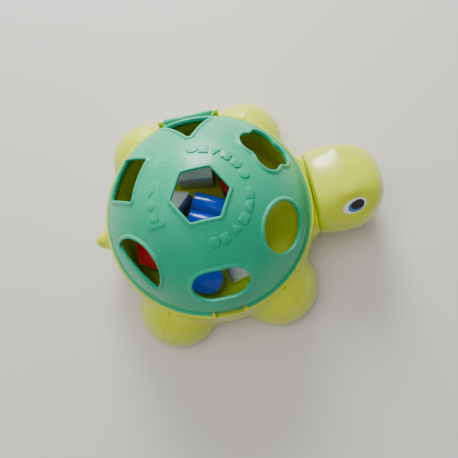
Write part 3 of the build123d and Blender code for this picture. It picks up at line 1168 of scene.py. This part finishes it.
# ---------------------------------------------------------------- body
@dataclass
class Body:
    """The yellow body: waist, four legs, neck and tail blended together, with the bowl cut in."""

    x: float
    hinge: Vector
    rim: float = 56.0
    wall: float = 2.4
    land: float = 98.5
    waist: Pair = (103.0, 13.0)
    foot: float = 100.5
    leg_centre: float = 92.5
    leg_radius: float = 40.0
    leg_rise: float = 46.0
    leg_side: float = 6.0
    leg_angles: tuple[float, ...] = (57.0, -57.0, 123.0, -123.0)
    neck_half: float = 39.5
    neck_face: float = 99.8
    neck_top: float = 52.0
    neck_rounding: float = 11.0
    tail_height: float = 38.0
    tail_tip: float = 115.9
    tail_radius: float = 8.6
    bowl: tuple[float, float, float, float] = (89.0, 86.0, 12.0, 6.0)
    spindle: Pair = (36.0, 10.05)
    clip_room: Pair = (8.4, 15.0)
    slot: tuple[float, float, float, float] = (13.5, 91.7, 97.2, 4.8)
    knuckle: Pair = (24.5, 30.0)
    knuckle_radius: float = 2.4
    pin_radius: float = 1.05
    lug: Pair = (88.0, 12.0)
    crease: Pair = (0.7, 1.0)
    pocket: Pair = (-1.0, 8.0)
    voxel: float = 1.5
    smoothing: int = 60
    spare: float = 11.0
    facets: int = 160

    def build(self, material: bpy.types.Material) -> None:
        """Builds the whole body as one piece.

        Args:
            material: The body's finish.
        """
        body = self.waist_form()
        body.join([*self.legs(), self.neck(), self.tail()])
        body.modify("REMESH", mode="VOXEL", voxel_size=self.voxel)
        body.modify("SMOOTH", factor=0.5, iterations=self.smoothing)
        body.sliced((0, 0, self.rim), (0, 0, 1))
        body.sliced((0, 0, 0), (0, 0, -1))
        body.sliced((self.x + self.neck_face, 0, 0), (1, 0, 0))
        for cut in [*self.creases(), *self.cover_pockets()]:
            body.combine(cut, "DIFFERENCE")
        for cut in [self.bowl_form(), self.slot_form(), *self.spindle_pockets()]:
            body.combine(cut, "DIFFERENCE")
        for part in self.hinge_lugs():
            body.combine(part, "UNION")
        reach, y, z = 2 * self.knuckle[1], self.hinge.y, self.hinge.z
        start, end = (self.x - reach, y, z), (self.x + reach, y, z)
        body.combine(Piece.rod("lug_bore", start, end, self.pin_radius), "DIFFERENCE")
        body.finish(material, "base", "yellow_plastic", ["upper_body"], 35.0)

    def waist_form(self) -> Piece:
        """The round middle, taller than it ends up, so that the slices leave crisp edges."""
        radius, height = self.waist
        top, bottom = self.rim + self.spare, -self.spare
        profile, count = [(0.0, bottom), (self.foot, bottom), (self.foot, 0.0)], 12
        for index in range(1, count):
            level = index / count * self.rim
            bulge = sin(pi * min(1.0, level / height / 2)) if level < height else 1.0
            fall = max(0.0, (level - height) / (self.rim - height)) ** 1.6
            wide = self.foot + (radius - self.foot) * bulge
            profile.append((wide - (radius - self.land) * fall, level))
        profile += [(self.land, self.rim), (self.land - 0.4, top), (0.0, top)]
        return Piece.spun("body_skin", profile, self.x, self.facets)

    def leg_place(self, angle: float) -> Pair:
        """Where the leg at an angle round the body stands.

        Args:
            angle: The angle, in degrees.

        Returns:
            The leg's middle, x and y.
        """
        reach, turn = self.leg_centre, radians(angle)
        return self.x + reach * cos(turn), reach * sin(turn)

    def legs(self) -> list[Piece]:
        """One rounded leg, made once and copied to its four places."""
        settings = {"segments": 64, "ring_count": 48, "radius": self.leg_radius}
        made = Piece.add("leg", bpy.ops.mesh.primitive_uv_sphere_add, **settings)
        rise = self.leg_rise / self.leg_radius
        drop = self.leg_side + self.spare
        made.shape(lambda p: Vector((p.x, p.y, self.leg_side + p.z * rise)))
        made.sliced((0, 0, self.leg_side), (0, 0, -1))
        with made.editing(Element.FACE):
            made.pick(Element.FACE, lambda face: face.normal.z < -0.99)
            bpy.ops.mesh.extrude_region_move(TRANSFORM_OT_translate={"value": (0, 0, -drop)})
        made.tidied()
        legs = []
        for index, angle in enumerate(self.leg_angles):
            thing = made.thing.copy()
            thing.data = made.thing.data.copy()
            thing.name = f"leg_{index}"
            bpy.context.collection.objects.link(thing)
            legs.append(Piece(thing).moved(Matrix.Translation((*self.leg_place(angle), 0))))
        bpy.data.objects.remove(made.thing)
        return legs

    def neck(self) -> Piece:
        """The block that carries the head, longer than it ends up."""
        low = (self.x + 30, -self.neck_half, -self.spare)
        high = (self.x + self.neck_face + self.spare, self.neck_half, self.neck_top)
        return Piece.box("neck", low, high, self.neck_rounding)

    def tail(self) -> Piece:
        """A cone with a round tip, flared where it leaves the waist."""
        tip, length, count = self.tail_radius, 30.0, 12
        profile = [(0.0, 0.0)]
        for index in range(count + 1):
            angle = pi / 2 * index / count
            profile.append((tip * sin(angle), tip - tip * cos(angle)))
        profile += [(11.0, 14.0), (14.5, 20.0), (19.0, length), (0.0, length)]
        piece = Piece.spun("tail", profile, 0.0, 48)
        place = Matrix.Translation((self.x - self.tail_tip, 0, self.tail_height))
        return piece.moved(place @ Matrix.Rotation(radians(90), 4, "Y"))

    def creases(self) -> list[Piece]:
        """A thin wedge ring over each leg, which cuts the soft crease between its toes."""
        (depth, half), radius = self.crease, self.leg_radius
        rise = self.leg_rise / radius
        side = [(radius - depth, 0.15), (radius - 0.4 * depth, 0.5 * half)]
        side += [(radius + 0.3, 1.5 * half), (radius + 2, 3 * half)]
        section = [(across, -level) for across, level in side] + side[::-1]
        pieces = []
        for index, angle in enumerate(self.leg_angles):
            ring = Piece.spun(f"crease_{index}", section, 0.0, 144)
            ring.moved(Matrix.Rotation(radians(90), 4, "X"))
            ring.shape(lambda p: Vector((p.x, p.y, self.leg_side + p.z * rise if p.z > 0 else p.z)))
            ring.sliced((6.0, 0, 0), (-1, 0, 0))
            turn = Matrix.Rotation(radians(angle), 4, "Z")
            pieces.append(ring.moved(Matrix.Translation((*self.leg_place(angle), 0)) @ turn))
        return pieces

    def cover_pockets(self) -> list[Piece]:
        """The recess for the base cover: the waist's, the legs' and the neck's, each inset.

        The legs' roofs are a hair above the waist's, and the neck's above those, so that none
        that overlap are coplanar.
        """
        low, high = self.pocket
        radius = self.foot - self.wall
        pieces = [Piece.rod("waist_pocket", (self.x, 0, low), (self.x, 0, high), radius)]
        radius = self.leg_radius - self.wall
        for angle in self.leg_angles:
            x, y = self.leg_place(angle)
            pieces.append(Piece.rod("leg_pocket", (x, y, low), (x, y, high + 0.01), radius))
        half = self.neck_half - self.wall
        far = self.x + self.neck_face - self.wall
        pieces.append(Piece.box("neck_pocket", (self.x, -half, low), (far, half, high + 0.02)))
        return pieces

    def bowl_form(self) -> Piece:
        """The space inside the bowl."""
        top, low, floor, soft = self.bowl
        profile, count, over = [(0.0, floor), (low - soft, floor)], 8, self.rim + 5
        for index in range(1, count + 1):
            angle = pi / 2 * index / count
            profile.append((low - soft + soft * sin(angle), floor + soft - soft * cos(angle)))
        profile += [(top, self.rim), (top + 0.3, over), (0.0, over)]
        return Piece.spun("bowl_space", profile, self.x, self.facets)

    def slot_form(self) -> Piece:
        """The slot in the land for the shell's tongue."""
        half, near, far, depth = self.slot
        low = (self.x - half, -far, self.rim - depth)
        return Piece.box("slot", low, (self.x + half, -near, self.rim + depth))

    def spindle_pockets(self) -> list[Piece]:
        """The bearing in the neck, and the room behind it for the spindle's end and its clip."""
        height, radius = self.spindle
        deep, wide = self.clip_room
        face = self.x + self.neck_face
        bearing = Piece.rod("bearing", (face - 8, 0, height), (face + 2, 0, height), radius)
        start, end = (face - deep, 0, height), (face - self.wall, 0, height)
        return [bearing, Piece.rod("clip_room", start, end, wide)]

    def hinge_lugs(self) -> list[Piece]:
        """The body's two outer knuckles and the lugs that carry them."""
        y, z, radius = self.hinge.y, self.hinge.z, self.knuckle_radius
        inner, height = self.lug
        pieces = []
        for side in (-1, 1):
            start, end = sorted(self.x + side * reach for reach in self.knuckle)
            rod = Piece.rod("body_knuckle", (start, y, z), (end, y, z), radius)
            rod.bevel_corners(0.4)
            low = (start + 0.2, y - radius + 0.2, z - height)
            post = Piece.box("lug_post", low, (end - 0.2, y + radius - 0.2, z))
            low, high = (start + 0.1, inner, self.rim - height), (end - 0.1, y, self.rim - 0.5)
            pieces += [Piece.box("lug_root", low, high), post, rod]
        return pieces


# ---------------------------------------------------------------- head
@dataclass
class Head:
    """The head: a boxy rounded form with brows and sunk eyes, turned about the neck's axis."""

    x: float
    centre: Pair = (125.0, 40.0)
    half: tuple[float, float, float] = (45.0, 43.5, 35.0)
    boxy: float = 2.35
    back: float = 100.4
    neck_height: float = 36.0
    roll: float = -17.0
    eye_ahead: float = 8.0
    eye_angle: float = 29.0
    eye_tilt: float = 14.0
    eye_size: Pair = (25.5, 16.5)
    iris_size: Pair = (18.0, 13.0)
    pupil_size: Pair = (15.0, 11.2)
    socket: Pair = (4.4, 14.0)
    brow: Pair = (3.0, 10.0)
    cheek: Pair = (0.8, 11.0)
    fall_base: float = 2.718  # what the soft swellings fall off by, about e
    rounding: float = 0.9
    hub: Pair = (15.2, 6.0)

    def eye_direction(self, side: int) -> Vector:
        """From the head's middle towards an eye, in the head's own unit form.

        Args:
            side: -1 on the right and 1 on the left.

        Returns:
            The direction, one long.
        """
        ahead = self.eye_ahead / self.half[0]
        ring = sqrt(1 - ahead**2)
        flat = radians(self.eye_angle)
        spread = ring / sqrt((cos(flat) / self.half[1]) ** 2 + (sin(flat) / self.half[2]) ** 2)
        place = Vector((self.eye_ahead, side * spread * cos(flat), spread * sin(flat)))
        return place.normalized()

    def form(self, direction: Vector) -> Vector:
        """The plain boxy form's point in a direction from its middle.

        Args:
            direction: The direction, one long.

        Returns:
            The point, from the head's middle.
        """
        unit = Vector(direction[i] / self.half[i] for i in range(3))
        reach = sum(abs(c) ** self.boxy for c in unit) ** (-1 / self.boxy)
        return direction * reach

    def swell(self, gap: Vector, height: float, spread: float) -> float:
        """A soft rise that is full where the gap is nothing, and gone past its spread."""
        return height * self.fall_base ** (-((gap.length / spread) ** 2))

    def skin(self, direction: Vector) -> Vector:
        """The head's point in a direction, with brows, sockets and cheeks, from its middle.

        Args:
            direction: The direction, one long.

        Returns:
            The point, from the head's middle.
        """
        point = self.form(direction)
        lift = 0.0
        for side in (-1, 1):
            eye = self.form(self.eye_direction(side))
            brow = eye + Vector((-2.0, -side * 9.0, 11.0))
            cheek = eye + Vector((2.0, side * 4.0, -18.0))
            lift -= self.swell(point - eye, *self.socket)
            lift += self.swell(point - brow, *self.brow)
            lift += self.swell(point - cheek, *self.cheek)
        return point + direction * lift

    def placed(self) -> Matrix:
        """From the head's middle and upright to its place and roll on the neck."""
        neck = Matrix.Translation((self.x, 0, self.neck_height))
        roll = Matrix.Rotation(radians(self.roll), 4, "X")
        ahead, height = self.centre
        return neck @ roll @ Matrix.Translation((ahead, 0, height - self.neck_height))

    def build(self, materials: dict[str, bpy.types.Material]) -> None:
        """Builds the head and both eyes.

        Args:
            materials: Every finish, by name.
        """
        settings = {"segments": 160, "ring_count": 96, "radius": 1}
        head = Piece.add("head_skin", bpy.ops.mesh.primitive_uv_sphere_add, **settings)
        head.moved(Matrix.Rotation(radians(90), 4, "Y"))
        head.shape(lambda p: self.skin(p.normalized()))
        head.moved(self.placed())
        back = self.x + self.back
        head.sliced((back, 0, 0), (-1, 0, 0))
        with head.editing(Element.EDGE):
            head.pick(Element.EDGE, lambda edge: all(abs(v.co.x - back) < 0.01 for v in edge.verts))
            bpy.ops.mesh.bevel(offset=self.rounding, segments=3)
        radius, depth = self.hub
        start, end = (back, 0, self.neck_height), (back + depth, 0, self.neck_height)
        head.combine(Piece.rod("hub_room", start, end, radius), "DIFFERENCE")
        head.finish(materials["yellow_plastic"], "head", "yellow_plastic", ["head_shell"], 35.0)
        for side, word in ((-1, "right"), (1, "left")):
            parts = (
                ("eye", "eye_white", (0.0, 0.0), self.eye_size, 0.45, [f"{word}_eye"]),
                ("iris", "iris_print", (1.2, -0.9), self.iris_size, 0.72, []),
                ("pupil", "pupil_print", (2.8, 0.1), self.pupil_size, 1.0, []),
            )
            for name, finish, offset, size, proud, nodes in parts:
                lens = self.lens(f"{word}_{name}_lens", side, offset, size, proud)
                lens.finish(materials[finish], "head", "eye_white", nodes, 50.0)

    def lens(self, name: str, side: int, offset: Pair, size: Pair, proud: float) -> Piece:
        """An oval lens that follows the head's skin.

        Args:
            name: The object's name.
            side: -1 on the right and 1 on the left.
            offset: Its middle from the eye's, forwards and upwards.
            size: Its length and width.
            proud: How far its middle stands off the skin.

        Returns:
            The closed lens, in place.
        """
        eye = self.form(self.eye_direction(side))
        normal = Vector(eye[i] / self.half[i] ** 2 for i in range(3)).normalized()
        ahead = (Vector((1, 0, 0)) - normal * normal.x).normalized()
        up = normal.cross(ahead) * -side
        tilt = radians(self.eye_tilt)
        long = ahead * cos(tilt) + up * sin(tilt)
        wide = up * cos(tilt) - ahead * sin(tilt)

        def rule(p: Vector) -> Vector:
            """A point of the unit ball, laid on the skin."""
            flat = eye + long * (offset[0] + p.x * size[0] / 2)
            flat = flat + wide * (offset[1] + p.y * size[1] / 2)
            rise = proud * sqrt(max(p.z, 0.0)) if p.z > 0 else 1.4 * p.z
            return self.skin(flat.normalized()) + normal * rise

        settings = {"segments": 72, "ring_count": 36, "radius": 1}
        ball = Piece.add(name, bpy.ops.mesh.primitive_uv_sphere_add, **settings)
        return ball.shape(rule).moved(self.placed()).tidied()


# ---------------------------------------------------------------- blocks
@dataclass
class Block:
    """A loose prism block that stands or lies in the bowl, smaller than its opening by the gap."""

    name: str
    colour: str
    place: Matrix
    length: float = 38.0
    gap: float = 1.7
    soft: float = 0.9

    def build(self, material: bpy.types.Material) -> None:
        """Builds the block with rounded ends.

        Args:
            material: The block's finish.
        """
        outline = OUTLINES[self.name]
        points = outline.loop(-self.gap, 96)
        half = self.length / 2
        piece = Piece.loop(f"{self.name}_solid", [Vector((x, y, 0)) for x, y in points])

        def moved(point: Vector, growth: float, height: float) -> Vector:
            """A point of the next loop."""
            x, y = outline.stepped(point.x, point.y, growth - self.gap)
            return Vector((x, y, height))

        soft = self.soft
        end = [(0.0, half - soft), (-0.3 * soft, half - 0.3 * soft), (-soft, half)]
        with piece.editing():
            for side in (-1, 1):
                bpy.ops.mesh.select_all(action="DESELECT")
                piece.pick(Element.VERTEX, lambda vertex: abs(vertex.co.z) < 0.001)
                piece.extruded_along(moved, [(growth, side * height) for growth, height in end])
                bpy.ops.mesh.edge_face_add()
        piece.tidied().moved(self.place)
        slot, nodes = f"{self.colour}_plastic", [f"{self.name}_block"]
        piece.finish(material, f"loose_{self.name}", slot, nodes, 30.0)


# How far each standing block is from the shell's axis, its turn in degrees and its colour.
STANDING = {
    "hexagon": (-55.0, -21.0, 27.5, "red"),
    "triangle": (-35.0, 21.0, 162.0, "white"),
    "square": (-5.0, 55.5, -8.0, "white"),
    "disc": (37.0, 30.0, 0.0, "red"),
    "stadium": (-22.0, -55.5, -27.5, "blue"),
}
# The turn of each lying block's length and its colour.
LYING = {"clover": (-27.5, "blue"), "moon": (-78.0, "white")}


def block_places(axis: float) -> list[Block]:
    """Every block where the frame has it.

    Args:
        axis: Where the shell's axis stands, which the standing blocks are placed from.

    Returns:
        The seven blocks.
    """

    def middle(name: str) -> Vector:
        """The middle of a block's frame node."""
        low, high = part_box(f"{name}_block")
        return (low + high) / 2 / MM

    blocks = []
    for name, (x, y, turn, colour) in STANDING.items():
        place = Matrix.Translation((axis + x, y, middle(name).z))
        blocks.append(Block(name, colour, place @ Matrix.Rotation(radians(turn), 4, "Z")))
    for name, (turn, colour) in LYING.items():
        along = Vector((cos(radians(turn)), sin(radians(turn)), 0))
        across = Vector((-along.y, along.x, 0))
        turned = Matrix((across, Vector((0, 0, 1)), along)).transposed().to_4x4()
        blocks.append(Block(name, colour, Matrix.Translation(middle(name)) @ turned))
    return blocks


# ---------------------------------------------------------------- studio
@dataclass
class Studio:
    """The floor, the lights and the camera."""

    lens: float = 43.1
    eye: tuple[float, float, float] = (-4.2, -112.1, 564.1)
    heading: float = 4.862
    tilt: float = 10.388
    roll: float = 17.426
    sky: Colour = (0.95, 0.96, 1.0)
    sky_strength: float = 0.42
    aim: float = 0.06

    def build(self) -> None:
        """Sets the whole studio."""
        self.camera()
        self.floor()
        window = {"size": 0.62, "power": 46.0, "colour": (0.95, 0.98, 1.0)}
        self.light("window", (0.05, 1.4, 0.72), **window)
        ceiling = {"size": 1.2, "power": 17.0, "colour": (1.0, 0.99, 0.97)}
        self.light("ceiling", (-0.5, 0.3, 1.6), **ceiling).visible_glossy = False
        world = bpy.data.worlds.new("studio")
        bpy.context.scene.world = world
        world.use_nodes = True
        background = world.node_tree.nodes["Background"].inputs
        background["Color"].default_value = rgba(*self.sky)
        background["Strength"].default_value = self.sky_strength

    def camera(self) -> None:
        """The camera, looking almost straight down."""
        data = bpy.data.cameras.new("camera")
        data.lens = self.lens
        data.sensor_width = 36.0
        data.clip_start = 0.01
        thing = bpy.data.objects.new("camera", data)
        bpy.context.scene.collection.objects.link(thing)
        turn = Matrix.Rotation(radians(self.heading), 4, "Z")
        turn = turn @ Matrix.Rotation(radians(self.tilt), 4, "X")
        turn = turn @ Matrix.Rotation(radians(-self.roll), 4, "Z")
        thing.matrix_world = Matrix.Translation(Vector(self.eye) * MM) @ turn
        bpy.context.scene.camera = thing

    def floor(self) -> None:
        """A plain pale floor with the faintest mottle."""
        floor = Piece.add("floor", bpy.ops.mesh.primitive_plane_add, size=6.0)
        graph = Graph("pale_floor")
        cloud = graph.noise(graph.place(), scale=6.0, detail=3.0)
        colour = graph.mix(cloud, rgba(0.66, 0.62, 0.56), rgba(0.70, 0.66, 0.60))
        settings = {"Base Color": colour, "Roughness": 0.6 + cloud * 0.1}
        floor.thing.data.materials.append(graph.shade(settings))

    def light(
        self, name: str, place: Sequence[float], size: float, power: float, colour: Colour
    ) -> bpy.types.Object:
        """Adds a square area light that looks at the object.

        Args:
            name: The light's name.
            place: Where it hangs, in metres.
            size: The length of its sides, in metres.
            power: Its power, in watts.
            colour: Its colour.

        Returns:
            The light's object.
        """
        data = bpy.data.lights.new(name, "AREA")
        data.size = size
        data.energy = power
        data.color = colour
        thing = bpy.data.objects.new(name, data)
        bpy.context.scene.collection.objects.link(thing)
        aim = Vector((0, 0, self.aim)) - Vector(place)
        turn = aim.to_track_quat("-Z", "Y").to_matrix().to_4x4()
        thing.matrix_world = Matrix.Translation(place) @ turn
        return thing


def dress_hardware(materials: dict[str, bpy.types.Material]) -> None:
    """Gives the frame's own hardware nodes their finishes.

    Args:
        materials: Every finish, by name.
    """
    dressed = {
        "base_cover": "yellow_plastic",
        "cover_screws": "screw_steel",
        "hinge_pin": "pin_steel",
        "head_spindle": "natural_plastic",
        "neck_clip": "spring_steel",
    }
    for node, finish in dressed.items():
        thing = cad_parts[node]
        thing.data.materials.clear()
        thing.data.materials.append(materials[finish])
        log.info("%s: frame node in %s", node, finish)


def main() -> None:
    """Builds the studio, the shell, the body, the head, the blocks and the hardware's finishes."""
    logging.basicConfig(level=logging.INFO, format="%(name)s: %(message)s")
    Studio().build()
    materials = {finish.name: finish.material() for finish in FINISHES}
    low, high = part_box("shell")
    axis_x = (low.x + high.x) / 2 / MM
    low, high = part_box("hinge_pin")
    hinge = (low + high) / 2 / MM
    dome = Dome(axis_x, hinge.z - HINGE_RISE)
    Shell(dome, hinge).build(materials["green_plastic"])
    Body(axis_x, hinge).build(materials["yellow_plastic"])
    Head(axis_x).build(materials)
    for block in block_places(axis_x):
        block.build(materials[f"{block.colour}_plastic"])
    dress_hardware(materials)


if __name__ == "__main__":
    main()
